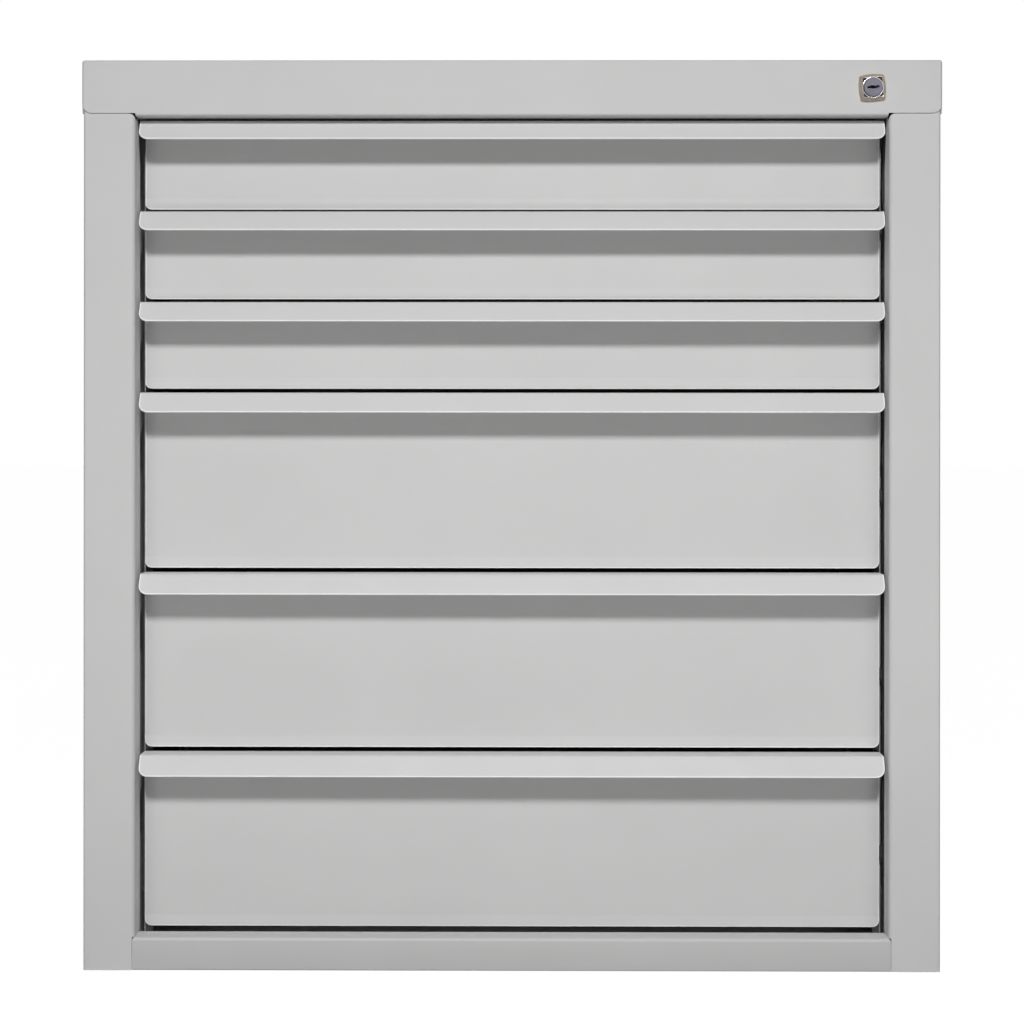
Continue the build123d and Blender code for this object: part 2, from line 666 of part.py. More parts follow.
os.makedirs("parts", exist_ok=True)
write_body()
write_fasteners()
write_drawers()
write_lock()
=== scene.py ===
import json
import math

import bmesh
import bpy
from bpy.props import FloatProperty, FloatVectorProperty, PointerProperty
from mathutils import Matrix, Vector

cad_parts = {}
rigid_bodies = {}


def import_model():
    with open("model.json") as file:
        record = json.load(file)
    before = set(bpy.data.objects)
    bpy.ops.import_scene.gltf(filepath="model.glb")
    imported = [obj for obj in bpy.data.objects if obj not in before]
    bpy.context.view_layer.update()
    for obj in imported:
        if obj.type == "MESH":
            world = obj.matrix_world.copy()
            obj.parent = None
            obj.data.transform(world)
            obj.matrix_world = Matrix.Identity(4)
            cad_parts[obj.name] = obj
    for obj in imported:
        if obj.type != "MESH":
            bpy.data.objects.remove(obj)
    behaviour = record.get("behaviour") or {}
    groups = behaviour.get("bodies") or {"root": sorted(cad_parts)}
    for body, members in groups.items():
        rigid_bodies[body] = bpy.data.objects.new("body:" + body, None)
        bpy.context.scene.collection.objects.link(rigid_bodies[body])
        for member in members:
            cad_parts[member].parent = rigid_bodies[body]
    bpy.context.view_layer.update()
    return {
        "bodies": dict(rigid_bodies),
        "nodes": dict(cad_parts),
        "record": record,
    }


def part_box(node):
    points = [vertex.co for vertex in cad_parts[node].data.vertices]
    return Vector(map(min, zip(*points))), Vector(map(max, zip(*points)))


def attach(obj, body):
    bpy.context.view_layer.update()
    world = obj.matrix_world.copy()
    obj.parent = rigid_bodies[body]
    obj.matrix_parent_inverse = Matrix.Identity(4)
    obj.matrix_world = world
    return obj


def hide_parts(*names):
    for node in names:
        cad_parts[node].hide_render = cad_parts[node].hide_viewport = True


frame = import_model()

bl_info = {
    "name": "Drawer Cabinet Dresser",
    "version": (1, 0, 0),
    "blender": (4, 5, 0),
    "location": "3D View > Sidebar > Cabinet",
    "description": "Dresses the steel drawer cabinet: folded sheets, lock, slides, finishes and studio",
    "category": "Object",
}

MM = 0.001
IMAGE_SIZE = 1024
DRAWERS = range(1, 1 + sum(1 for name in frame["bodies"] if name.startswith("drawer_")))
SIDES = (("right", 1), ("left", -1))
POST_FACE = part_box("side_panel_right")[0].y
TOUCH = 0.01 * MM

# Sizes of the construction that the boxes of its pieces don't give, in millimetres
WIDTH, DEPTH, SHEET = 800, 600, 1.2
BODY_FOLD, POST_FOLD, RAIL_FOLD, FOOT_FOLD, COVER_FOLD, FLANGE_FOLD = 2.5, 4.5, 3, 1.5, 2.2, 1.6
OPENING_HALF, RETURN_DEPTH, POST_FLAT_HALF = 352.2, 13, 354.4
REAR_FLANGE, TOP_FLANGE, LOWER_FLANGE, FLANGE_DEPTH = 30, 25.2, (374.8, 398.8), (30, 570)
POST_TOP, POST_CORNER = 800, 5
RAIL_TOP, RAIL_HALF, RAIL_DEPTH, RAIL_LIP, RAIL_CORNER, RAIL_GAP = 30.5, 354.1, 24, 10, 3, 0.3
EAR_SPAN, EAR_HEIGHTS = (342, 386), (3, 26.5)
COVER_CORNER, CORNER_CUTS = 9.5, 8
COVER_FACE_DEPTH, RETURN_HALF, RETURN_REACH = -1.3, 351.2, 20
FASTENER_LINE, COVER_SCREW_HEIGHT = 384, 825.25
COVER_SCREWS, RIVET_HEIGHTS = (-FASTENER_LINE, 0, FASTENER_LINE), (60, 240, 420, 600, 770)
LOCK_HOLE, SCREW_HOLE, FASTENER_HOLE = 9.05, 3.65, 2.05
# Drills: start behind the outer face, length
COVER_DRILL, PANEL_DRILL, BEZEL_DRILL = (-5, 10), (-3, 12), (-5, 30)
RIM, FRONT_RIM, THIN_RIM = 0.25, 0.5, 0.2
FRONT_HALF, FRONT_DEPTH, FRONT_SHEET = 349.4, 34.5, 1.5
BAND_HEIGHT, BAND_KICK, BAND_CORNER, BAND_FOLD = 10.5, 1.2, 6.5, 4
LIP_EDGE_DEPTH, LIP_TOP_DEPTH, LIP_FACE, LIP_CORNER, LIP_FOLD = 1.5, 11.6, 18.5, 9, 3
# The last size is the width of the strip along a front's edges that takes a painted highlight.
HEM_DEPTHS, HEM_ENDS, HIGHLIGHT_STRIP = (-0.4, 2.7), (2, -4), 1.15
TRAY_SHEET, TRAY_RIM, TRAY_ROLL, TRAY_CORNER, TRAY_FOLD, ROLL_FOLD = 1, 5, 3, 3, 1.8, 0.9
SLIDE_START, SLIDE_LENGTH, SLIDE_FOLD = 50, 510, 2
# Channels: nearest x, farthest x, half height
OUTER_CHANNEL, MIDDLE_CHANNEL, INNER_CHANNEL = (343.6, 352.2, 22.5), (341.9, 349, 18), (339, 346, 13)
# Ball rows: first ball behind the channel's front, radius, distance from the inner channel's web
OUTER_BALLS, INNER_BALLS, BALL_COUNT, BALL_PITCH = (290, 1.6, 3.2), (8, 1.85, 2.4), 12, 18
RIDGE_HALF, FACET_DEPTH, ROSETTE_SPREAD, ROSETTE_BOW = 9.4, 4.5, 1.285, 0.3
ROSETTE_TILT, ROSETTE_RAISE, ROSETTE_BASE, ROSETTE_CUTS = 4, 0.3, 1.5, 7
ROSETTE_RIM, DIAGONAL_FOLD = 0.12, 0.9
# The recess behind the ridge, step by step: scale and depth
ROSETTE_STEPS = ((0.97, 0.1), (0.74, 3.2))
COLLAR_RADIUS, COLLAR_BORE, COLLAR_OVERLAP, COLLAR_SET_BACK = 9.9, 8.95, 0.4, 0.2
COLLAR_LENGTH, COLLAR_RIM = 3.6, 0.45

# Sizes and depths of the finishes' effects, in millimetres
PEEL_SIZE, TRAY_PEEL_SIZE, HANDLED_DEPTHS = 1.1, 1.3, (2, 14)
# The last pair is how far across and up the painted shade round the plug's keyway reaches.
LATHE_PITCH, LATHE_DEPTH, KEYWAY_SHADE = 0.35, 0.01, (5.4, 1.5)

# The studio, in metres; distances are in front of the posts
LAMP_DISTANCE, KEY_HEIGHT, KEY_AIM_DISTANCE, KEY_SIZE = 2.0, 1.95, 1.95, (0.1, 0.5)
KEY_SHARES = ((-0.26, 0.46), (0.28, 0.54))
SECOND_HEIGHT, SECOND_AIM_HEIGHT, SECOND_SIZE = 1.2, 0.45, (0.2, 0.3)
LOW_X, LOW_DISTANCE, LOW_HEIGHT, LOW_SIZE = 0.6, 0.9, 0.295, (0.5, 0.04)
FLOOR_SIZE, FLOOR_GREY, FLOOR_WHITE, FLOOR_SHARE = 40, 0.42, 1.1, 0.9


# ---------------- settings


def colour_setting(name, description, value):
    return FloatVectorProperty(name=name, description=description, subtype="COLOR", size=3,
                               min=0, max=1, default=value)


def number_setting(name, description, value, **kinds):
    return FloatProperty(name=name, description=description, default=value, **kinds)


class CabinetFinish(bpy.types.PropertyGroup):
    """Colours and surface of the finishes."""

    coat_colour: colour_setting("Coat colour", "Light grey of the powder coat", (0.585, 0.585, 0.583))
    coat_roughness: number_setting("Coat roughness", "Satin of the powder coat", 0.6, min=0, max=1)
    coat_peel: number_setting("Coat peel", "Depth of the orange peel", 0.05 * MM, unit="LENGTH", precision=6)
    zinc_colour: colour_setting("Zinc colour", "Bright zinc plating of the slides", (0.62, 0.63, 0.64))
    steel_colour: colour_setting("Steel colour", "Steel of screws, rivets and balls", (0.50, 0.53, 0.58))
    # The bar and its guides are black, and also as painted shade, so the gap beside the fronts reads dark.
    bar_and_gap_shade_black: colour_setting("Black colour", "Oiled phosphate of the locking bar", (0.085, 0.085, 0.088))
    nickel_colour: colour_setting("Nickel colour", "Warm nickel of the rosette", (0.44, 0.39, 0.335))
    # Painted shade: the rosette's recesses darkened, standing in for the dark reflections in its corners.
    recess_shade_colour: colour_setting("Recess colour", "Tarnish in the rosette's corners", (0.25, 0.20, 0.15))
    collar_colour: colour_setting("Collar colour", "Bright ring round the plug", (0.62, 0.61, 0.66))
    plug_colour: colour_setting("Plug colour", "Bluish steel of the plug", (0.115, 0.113, 0.137))


class CabinetStudio(bpy.types.PropertyGroup):
    """Camera and lights."""

    camera_x: number_setting("Camera X", "Camera to the right of the middle", 25.3 * MM, unit="LENGTH")
    camera_height: number_setting("Camera height", "Camera above the floor", 510.9 * MM, unit="LENGTH")
    camera_distance: number_setting(
        "Camera distance", "Camera in front of the posts", 1700 * MM, unit="LENGTH")
    camera_yaw: number_setting("Camera yaw", "Turn to the left", 0.0056, subtype="ANGLE")
    camera_roll: number_setting("Camera roll", "Tilt about the view axis", 0.0007, subtype="ANGLE")
    focal_pixels: number_setting("Focal length", "In pixels of the square image", 1822.57)
    centre_x: number_setting("Image centre X", "Pixel of the view axis from the left", 528.34)
    centre_y: number_setting("Image centre Y", "Pixel of the view axis from the top", 423.56)
    key_power: number_setting("Key", "Two small lamps high above the camera", 77.5, unit="POWER")
    second_power: number_setting("Second", "Weak lamp above the camera", 1.0, unit="POWER")
    fill_power: number_setting("Fill", "Flat lamps low in front, one on each side", 1.1, unit="POWER")
    ambient: number_setting("Ambient", "Light of the surroundings", 0.01)


def settings(group):
    return getattr(bpy.context.scene, group)


def lock_centre():
    low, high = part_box("lock_plug")
    return (low + high) / 2


# ---------------- node helpers


def fill(tree, node, inputs):
    """Fills a node's inputs with values, or with links from sockets."""
    for key, value in inputs.items():
        if isinstance(value, bpy.types.NodeSocket):
            tree.links.new(value, node.inputs[key])
        else:
            node.inputs[key].default_value = value


def add_node(tree, kind, inputs=None, **attributes):
    """Adds a node, sets its attributes and fills its inputs."""
    made = tree.nodes.new(kind)
    for name, value in attributes.items():
        setattr(made, name, value)
    fill(tree, made, inputs or {})
    return made


def new_group(name, inputs, outputs):
    """A shader node group with named sockets. Returns its tree, the sockets of its input node and
    its output node."""
    tree = bpy.data.node_groups.new(name, "ShaderNodeTree")
    for way, sockets in (("INPUT", inputs), ("OUTPUT", outputs)):
        for socket, kind in sockets.items():
            tree.interface.new_socket(name=socket, in_out=way, socket_type=f"NodeSocket{kind}")
    return tree, tree.nodes.new("NodeGroupInput").outputs, tree.nodes.new("NodeGroupOutput")


def use_group(tree, name, inputs):
    return add_node(tree, "ShaderNodeGroup", inputs, node_tree=bpy.data.node_groups[name]).outputs


def math_node(tree, operation, *values, clamp=False):
    inputs = dict(enumerate(values))
    return add_node(tree, "ShaderNodeMath", inputs, operation=operation, use_clamp=clamp).outputs[0]


def map_range(tree, value, low, high, to_low, to_high):
    inputs = {"Value": value, "From Min": low, "From Max": high, "To Min": to_low, "To Max": to_high}
    return add_node(tree, "ShaderNodeMapRange", inputs).outputs["Result"]


def noise(tree, vector, scale, detail=2.0, roughness=0.5):
    inputs = {"Vector": vector, "Scale": scale, "Detail": detail, "Roughness": roughness}
    return add_node(tree, "ShaderNodeTexNoise", inputs).outputs["Fac"]


def plain_colour(tree, colour, tone=1.0):
    made = add_node(tree, "ShaderNodeRGB")
    made.outputs[0].default_value = (*[channel * tone for channel in colour], 1)
    return made.outputs[0]


def scale_colour(tree, colour, factor):
    """A colour times a grey factor."""
    return add_node(tree, "ShaderNodeMix", {0: 1.0, 6: colour, 7: factor},
                    data_type="RGBA", blend_type="MULTIPLY").outputs[2]


def add_bump(tree, shader, height, strength, distance):
    bump = add_node(tree, "ShaderNodeBump", {"Height": height, "Strength": strength, "Distance": distance})
    tree.links.new(bump.outputs["Normal"], shader.inputs["Normal"])


def new_material(name, **shader):
    """A material with a Principled shader, whose even values are set on the shader's own sockets.
    Returns it with its tree, its shader and the object's coordinates."""
    material = bpy.data.materials.new(name)
    material.use_nodes = True
    tree = material.node_tree
    tree.nodes.clear()
    output = tree.nodes.new("ShaderNodeOutputMaterial")
    principled = add_node(tree, "ShaderNodeBsdfPrincipled")
    for key, value in shader.items():
        principled.inputs[key.replace("_", " ").title().replace("Ior", "IOR")].default_value = value
    tree.links.new(principled.outputs["BSDF"], output.inputs["Surface"])
    coordinates = tree.nodes.new("ShaderNodeTexCoord").outputs["Object"]
    return material, tree, principled, coordinates


# ---------------- effects shared by the finishes


def build_peel_group():
    """Orange peel of a sprayed coat: small soft bumps on broader waves, and a faint mottle of its tone."""
    tree, given, out = new_group("coat_peel", {"Vector": "Vector", "Size": "Float"},
                                 {"Height": "Float", "Tone": "Float", "Gloss": "Float"})
    fine_scale = math_node(tree, "DIVIDE", 1.0, given["Size"])
    fine = noise(tree, given["Vector"], fine_scale, 1.5, 0.45)
    broad_scale = math_node(tree, "DIVIDE", fine_scale, 4.5)
    broad = noise(tree, given["Vector"], broad_scale, 1.0, 0.4)
    height = math_node(tree, "ADD", fine, math_node(tree, "MULTIPLY", broad, 0.7))
    mottle = noise(tree, given["Vector"], 9.0, 3.0, 0.55)
    gloss = noise(tree, given["Vector"], 30.0, 4.0, 0.6)
    fill(tree, out, {"Height": height, "Tone": map_range(tree, mottle, 0.3, 0.7, 0.985, 1.015),
                     "Gloss": map_range(tree, gloss, 0.3, 0.7, -0.035, 0.035)})


def build_brushed_group():
    """Fine drawn lines, for rolled and plated steel. Along holds the lines per metre on each axis."""
    tree, given, out = new_group("drawn_lines", {"Vector": "Vector", "Along": "Vector"},
                                 {"Height": "Float", "Tone": "Float", "Gloss": "Float"})
    squeezed = add_node(tree, "ShaderNodeVectorMath", {0: given["Vector"], 1: given["Along"]},
                        operation="MULTIPLY").outputs[0]
    lines = noise(tree, squeezed, 1.0, 4.0, 0.65)
    cloud = noise(tree, given["Vector"], 45.0, 3.0, 0.6)
    gloss = math_node(tree, "ADD", map_range(tree, lines, 0.3, 0.7, -0.05, 0.05),
                      map_range(tree, cloud, 0.3, 0.7, -0.05, 0.05))
    fill(tree, out, {"Height": lines, "Tone": map_range(tree, cloud, 0.3, 0.7, 0.90, 1.06), "Gloss": gloss})


def build_turned_group():
    """Rings about the Y axis, as a lathe leaves them."""
    tree, given, out = new_group("turned_rings", {"Vector": "Vector", "Pitch": "Float"}, {"Height": "Float"})
    parts = add_node(tree, "ShaderNodeSeparateXYZ", {0: given["Vector"]}).outputs
    flat = math_node(tree, "SQRT", math_node(tree, "ADD", math_node(tree, "POWER", parts["X"], 2.0),
                                             math_node(tree, "POWER", parts["Z"], 2.0)))
    turns = math_node(tree, "DIVIDE", flat, given["Pitch"])
    ripple = math_node(tree, "SINE", math_node(tree, "MULTIPLY", turns, 2 * math.pi))
    fill(tree, out, {"Height": ripple})


def build_handled_group():
    """How much a surface is handled: 1 in front of a depth, 0 behind it."""
    tree, given, out = new_group("handled", {"Vector": "Vector", "Front": "Float", "Back": "Float"},
                                 {"Mask": "Float"})
    parts = add_node(tree, "ShaderNodeSeparateXYZ", {0: given["Vector"]}).outputs
    near = map_range(tree, parts["Y"], given["Front"], given["Back"], 1.0, 0.0)
    patches = map_range(tree, noise(tree, given["Vector"], 14.0, 3.0, 0.6), 0.35, 0.65, 0.3, 1.0)
    fill(tree, out, {"Mask": math_node(tree, "MULTIPLY", near, patches, clamp=True)})


# ---------------- finishes


def coat_material(name, peel_size, tone=1.0, handled=None, shaded_up_to=0):
    """Light grey powder coat. handled is (front, back), the depths between which hands no longer reach.
    Below the height given as its last argument, the coat is darkened towards the floor, a painted shade."""
    finish = settings("cabinet_finish")
    material, tree, shader, place = new_material(name, specular_ior_level=0.35, ior=1.5)
    peel = use_group(tree, "coat_peel", {"Vector": place, "Size": peel_size})
    shade = scale_colour(tree, plain_colour(tree, finish.coat_colour, tone), peel["Tone"])
    if shaded_up_to:
        # Painted shade: the coat darker towards the floor.
        height = add_node(tree, "ShaderNodeSeparateXYZ", {0: place}).outputs["Z"]
        shade = scale_colour(tree, shade, map_range(tree, height, 0.0, shaded_up_to, 0.90, 1.0))
    rough = math_node(tree, "ADD", peel["Gloss"], finish.coat_roughness)
    if handled:
        front, back = handled
        mask = use_group(tree, "handled", {"Vector": place, "Front": front, "Back": back})["Mask"]
        rough = math_node(tree, "SUBTRACT", rough, math_node(tree, "MULTIPLY", mask, 0.06))
    fill(tree, shader, {"Base Color": shade, "Roughness": rough})
    add_bump(tree, shader, peel["Height"], 0.5, finish.coat_peel)
    return material


def plated_material(name, colour, roughness, along, depth=0.004 * MM):
    """Rolled steel with a bright plating. along holds its drawn lines per metre on each axis."""
    material, tree, shader, place = new_material(name, metallic=1.0)
    lines = use_group(tree, "drawn_lines", {"Vector": place, "Along": along})
    fill(tree, shader, {"Base Color": scale_colour(tree, plain_colour(tree, colour), lines["Tone"]),
                        "Roughness": math_node(tree, "ADD", lines["Gloss"], roughness)})
    add_bump(tree, shader, lines["Height"], 0.4, depth)
    return material


def turned_material(name, colour, roughness, centre, pitch, depth):
    """Steel turned on a lathe about an axis along Y through the centre, with painted shade round its keyway
    that makes the dark slot look wider.
    """
    material, tree, shader, place = new_material(name, metallic=1.0)
    away = {"Vector": place, "Location": [-distance for distance in centre]}
    moved = add_node(tree, "ShaderNodeMapping", away).outputs[0]
    rings = use_group(tree, "turned_rings", {"Vector": moved, "Pitch": pitch})["Height"]
    lines = use_group(tree, "drawn_lines", {"Vector": moved, "Along": (900.0, 900.0, 900.0)})
    per_reach = (1 / (KEYWAY_SHADE[0] * MM), 0.0, 1 / (KEYWAY_SHADE[1] * MM))
    near = add_node(tree, "ShaderNodeVectorMath", {0: moved, 1: per_reach}, operation="MULTIPLY")
    reach = add_node(tree, "ShaderNodeVectorMath", {0: near.outputs["Vector"]}, operation="LENGTH")
    ragged = noise(tree, moved, 500.0)
    # Painted shade: the plug darkens near its keyway, to widen the dark slot.
    outside_keyway_shade = map_range(tree, math_node(tree, "ADD", reach.outputs["Value"], ragged), 1.2, 1.6, 0.08, 1.0)
    shade = scale_colour(tree, plain_colour(tree, colour), lines["Tone"])
    fill(tree, shader, {"Base Color": scale_colour(tree, shade, outside_keyway_shade),
                        "Roughness": math_node(tree, "ADD", lines["Gloss"], roughness)})
    add_bump(tree, shader, rings, 0.35, depth)
    return material


class CABINET_OT_finishes(bpy.types.Operator):
    """Build the finishes and give each carried-over piece its own"""

    bl_idname = "cabinet.finishes"
    bl_label = "Finishes"

    def execute(self, context):
        finish = settings("cabinet_finish")
        for build in (build_peel_group, build_brushed_group, build_turned_group, build_handled_group):
            build()
        peel = PEEL_SIZE * MM
        # Painted shade: the lid, posts and carried-over coated pieces are made a little darker than the
        # fronts.
        coat = coat_material("body_coat_painted_shade", peel, tone=0.96)
        # Painted shade: the rail darker than the body, and darker still towards the floor.
        coat_material("rail_coat_painted_shade", peel, tone=0.89, shaded_up_to=RAIL_TOP * MM)
        coat_material("front_coat", peel, handled=[POST_FACE + depth * MM for depth in HANDLED_DEPTHS])
        # Painted highlight: the coat made much lighter, for the rims and edge strips of the sheets.
        coat_material("rim_painted_highlight", peel, tone=1.42)
        coat_material("tray_coat", TRAY_PEEL_SIZE * MM, tone=0.97)
        zinc = plated_material("slide_zinc", finish.zinc_colour, 0.30, (900.0, 25.0, 900.0))
        # Black bar and guides: their own finish, and also painted shade for the gap beside the fronts.
        black = plated_material("blackened_bar_and_gap_shade", finish.bar_and_gap_shade_black, 0.5, (900.0, 900.0, 25.0))
        plated_material("nickel", finish.nickel_colour, 0.24, (1500.0, 1500.0, 60.0), 0.002 * MM)
        # Painted shade in the rosette's recesses, for the dark reflections in its corners.
        plated_material("nickel_painted_recess_shade", finish.recess_shade_colour, 0.2, (1500.0, 1500.0, 60.0), 0.002 * MM)
        plated_material("collar_steel", finish.collar_colour, 0.18, (1500.0, 60.0, 1500.0), 0.002 * MM)
        plated_material("ball_steel", finish.steel_colour, 0.16, (300.0, 300.0, 300.0), 0.001 * MM)
        steel = plated_material("fastener_steel", finish.steel_colour, 0.34, (700.0, 700.0, 700.0))
        plug = turned_material("turned_plug", finish.plug_colour, 0.42, lock_centre(),
                               LATHE_PITCH * MM, LATHE_DEPTH * MM)
        by_slot = {"grey_powder_coat": coat, "zinc_plated_steel": zinc, "bright_steel": steel,
                   "satin_nickel": bpy.data.materials["nickel"], "blackened_steel": black}
        for row in frame["record"]["subparts"]:
            material = by_slot[row["material_slot"]]
            if row["node"] == "lock_plug":
                material = plug
            dress(frame["nodes"][row["node"]], material)
        return {"FINISHED"}


def dress(piece, *materials):
    """Puts these materials in the piece's slots, in order."""
    slots = piece.data.materials
    for place in range(max(len(slots), len(materials))):
        material = materials[min(place, len(materials) - 1)]
        if place < len(slots):
            slots[place] = material
        else:
            slots.append(material)


# ---------------- bench work


def level(along, depth, height):
    """A point along a fold that runs across the cabinet, from millimetres behind the posts and
    above the floor."""
    return Vector((along * MM, POST_FACE + depth * MM, height * MM))


def standing(along, x, depth):
    """A point along a fold that runs upwards."""
    return Vector((x * MM, POST_FACE + depth * MM, along * MM))


def lengthwise(along, x, height):
    """A point along a fold that runs from front to back."""
    return Vector((x * MM, POST_FACE + along * MM, height * MM))


def name_piece(piece, name):
    piece.name = piece.data.name = name
    return piece


def start(name, primitive, size=(1, 1, 1), **given):
    """Adds a primitive at its size and place, its transform applied, and leaves only it selected."""
    bpy.ops.object.select_all(action="DESELECT")
    primitive(**given)
    bpy.context.object.scale = size
    bpy.ops.object.transform_apply(location=True, rotation=True, scale=True)
    return name_piece(bpy.context.object, name)


def start_plane(name, corner, along, across):
    """A rectangle from a corner over two square vectors. It faces along x across."""
    rows = (along.normalized(), across.normalized(), along.cross(across).normalized())
    turn = Matrix(rows).transposed().to_euler()
    return start(name, bpy.ops.mesh.primitive_plane_add, (along.length / 2, across.length / 2, 1),
                 location=corner + (along + across) / 2, rotation=turn)


def start_box(name, low, high):
    low, high = Vector(low), Vector(high)
    return start(name, bpy.ops.mesh.primitive_cube_add, (high - low) / 2, location=(low + high) / 2)


def start_rod(name, front, radius, length, sides=48):
    """A round bar that runs back from the centre of its front face."""
    return start(name, bpy.ops.mesh.primitive_cylinder_add, vertices=sides, radius=radius, depth=length,
                 location=front + Vector((0, length / 2, 0)), rotation=(math.radians(90), 0, 0))


def mode(name):
    bpy.ops.object.mode_set(mode=name)


def select_all():
    bpy.ops.mesh.select_all(action="SELECT")


def corners_of(part):
    return [part] if isinstance(part, bmesh.types.BMVert) else part.verts


def pick(kind, test):
    """In edit mode, selects the vertices, edges or faces that pass the test, and only them."""
    bpy.ops.mesh.select_mode(type=kind)
    bpy.ops.mesh.select_all(action="DESELECT")
    mesh = bpy.context.object.data
    bench = bmesh.from_edit_mesh(mesh)
    bench.normal_update()
    for part in {"VERT": bench.verts, "EDGE": bench.edges, "FACE": bench.faces}[kind]:
        if test(part):
            part.select_set(True)
    bench.select_flush_mode()
    bmesh.update_edit_mesh(mesh)


def on_line(point, along):
    """Passes what lies on the line through a point."""
    return lambda part: all((corner.co - point).cross(along).length < TOUCH for corner in corners_of(part))


def within(x=None, y=None, z=None):
    """Passes what lies between these limits along each axis."""
    limits = [(axis, limit) for axis, limit in enumerate((x, y, z)) if limit]
    return lambda part: all(limit[0] - TOUCH <= corner.co[axis] <= limit[1] + TOUCH
                            for corner in corners_of(part) for axis, limit in limits)


def facing(direction, x=None, y=None, z=None):
    """Passes faces that look in a direction and lie between the limits."""
    inside = within(x, y, z)
    return lambda face: face.normal.dot(Vector(direction)) > 0.98 and inside(face)


def running(direction, x=None, y=None, z=None):
    """Passes edges that run along a direction and lie between the limits."""
    inside = within(x, y, z)

    def passes(edge):
        run = (edge.verts[1].co - edge.verts[0].co).normalized()
        return abs(run.dot(Vector(direction))) > 0.999 and inside(edge)

    return passes


def at(point):
    return lambda vertex: (vertex.co - point).length < TOUCH


def round_edges(test, offset, segments=6):
    pick("EDGE", test)
    bpy.ops.mesh.bevel(offset_type="OFFSET", offset=offset, segments=segments, profile=0.5,
                       affect="EDGES")


def round_corner(point, radius, segments=8):
    pick("VERT", at(point))
    bpy.ops.mesh.bevel(offset_type="OFFSET", offset=radius, segments=segments, profile=0.5,
                       affect="VERTICES")


def extrude_edges(test, move):
    pick("EDGE", test)
    bpy.ops.mesh.extrude_edges_move(TRANSFORM_OT_translate={"value": move})


def extrude_faces(move):
    bpy.ops.mesh.extrude_region_move(TRANSFORM_OT_translate={"value": move})


def cut(test, point, normal, clear=False):
    """Cuts the faces that pass the test by a plane, and clears those of them that lie beyond it."""
    pick("FACE", test)
    bpy.ops.mesh.bisect(plane_co=point, plane_no=normal)
    if clear:
        point, normal = Vector(point), Vector(normal)
        delete_faces(lambda face: test(face) and all((corner.co - point).dot(normal) > -TOUCH
                                                     for corner in face.verts))


def trim_corner(test, centre, radius, side, up):
    """Trims the faces that pass the test to a quarter circle about the centre.
    side and up are +1 or -1 and point from the centre out of the sheet."""
    for step in range(CORNER_CUTS):
        turn = math.pi / 2 * (step + 0.5) / CORNER_CUTS
        outward = Vector((side * math.cos(turn), 0, up * math.sin(turn)))
        cut(test, centre + outward * radius * MM, outward, True)


def delete_faces(test):
    pick("FACE", test)
    bpy.ops.mesh.delete(type="FACE")


def give_slot(number):
    """In edit mode, gives the selected faces a material slot of their own."""
    piece = bpy.context.object
    while len(piece.data.materials) <= number:
        piece.data.materials.append(None)
    piece.active_material_index = number
    bpy.ops.object.material_slot_assign()


def mark_highlight_strip(width):
    """In edit mode, sets a strip off all along the edge of an open sheet, for a painted highlight: the coat
    is made lighter there.
    """
    bpy.ops.mesh.select_mode(type="FACE")
    select_all()
    bpy.ops.mesh.inset(thickness=width, use_boundary=True, use_even_offset=True, use_select_inset=True)
    give_slot(1)


def apply_modifier(piece, kind, **values):
    bpy.context.view_layer.objects.active = piece
    bpy.ops.object.modifier_add(type=kind)
    modifier = piece.modifiers[-1]
    for key, value in values.items():
        setattr(modifier, key, value)
    bpy.ops.object.modifier_apply(modifier=modifier.name)


def only(*pieces):
    """Selects these pieces alone; the first becomes the active one."""
    bpy.ops.object.select_all(action="DESELECT")
    for piece in pieces:
        piece.select_set(True)
    bpy.context.view_layer.objects.active = pieces[0]


def join(first, *others):
    only(first, *others)
    bpy.ops.object.join()
    return first


def drill(piece, rod):
    """Takes a rod, or several joined ones, out of a piece."""
    apply_modifier(piece, "BOOLEAN", object=rod, operation="DIFFERENCE", solver="EXACT")
    bpy.data.objects.remove(rod)


def copy_piece(piece, name, move=(0, 0, 0)):
    """A copy with its own mesh, moved in its mesh."""
    only(piece)
    bpy.ops.object.duplicate()
    made = bpy.context.object
    if made.data.users > 1:
        made.data = made.data.copy()
    name_piece(made, name)
    made.parent = None
    for key in list(made.keys()):
        del made[key]
    if Vector(move).length:
        mode("EDIT")
        select_all()
        bpy.ops.transform.translate(value=move)
        mode("OBJECT")
    return made


def one_per_height(patterns, name, low, high, make):
    """Makes the first piece of each height, and copies it up or down for the others."""
    height = round((high.z - low.z) / MM)
    if height in patterns:
        first, first_low = patterns[height]
        return copy_piece(first, name, (0, 0, low.z - first_low))
    patterns[height] = (make(name, low, high), low.z)
    return patterns[height][0]


def mirror_piece(piece, name):
    """The same piece on the other side of the cabinet."""
    made = copy_piece(piece, name)
    mode("EDIT")
    select_all()
    bpy.ops.transform.resize(value=(-1, 1, 1), center_override=(0, 0, 0))
    bpy.ops.mesh.flip_normals()
    mode("OBJECT")
    return made


def bend_sheet(name, space, span, path, segments=6):
    """A sheet without thickness that follows the points (u, v, fold radius) of a path, over a span
    along its folds. The sheet will lie to the left of the path."""
    places = [space(span[0], u, v) for u, v, _ in path]
    along = space(span[1], *path[0][:2]) - places[0]
    piece = start_plane(name, places[0], along, places[1] - places[0])
    mode("EDIT")
    for here, there in zip(places[1:], places[2:]):
        extrude_edges(on_line(here, along.normalized()), there - here)
    for before, here, after, (_, _, radius) in zip(places, places[1:], places[2:], path[1:]):
        turn = (here - before).angle(after - here)
        round_edges(on_line(here, along.normalized()), radius * MM * math.tan(turn / 2), segments)
    mode("OBJECT")
    return piece


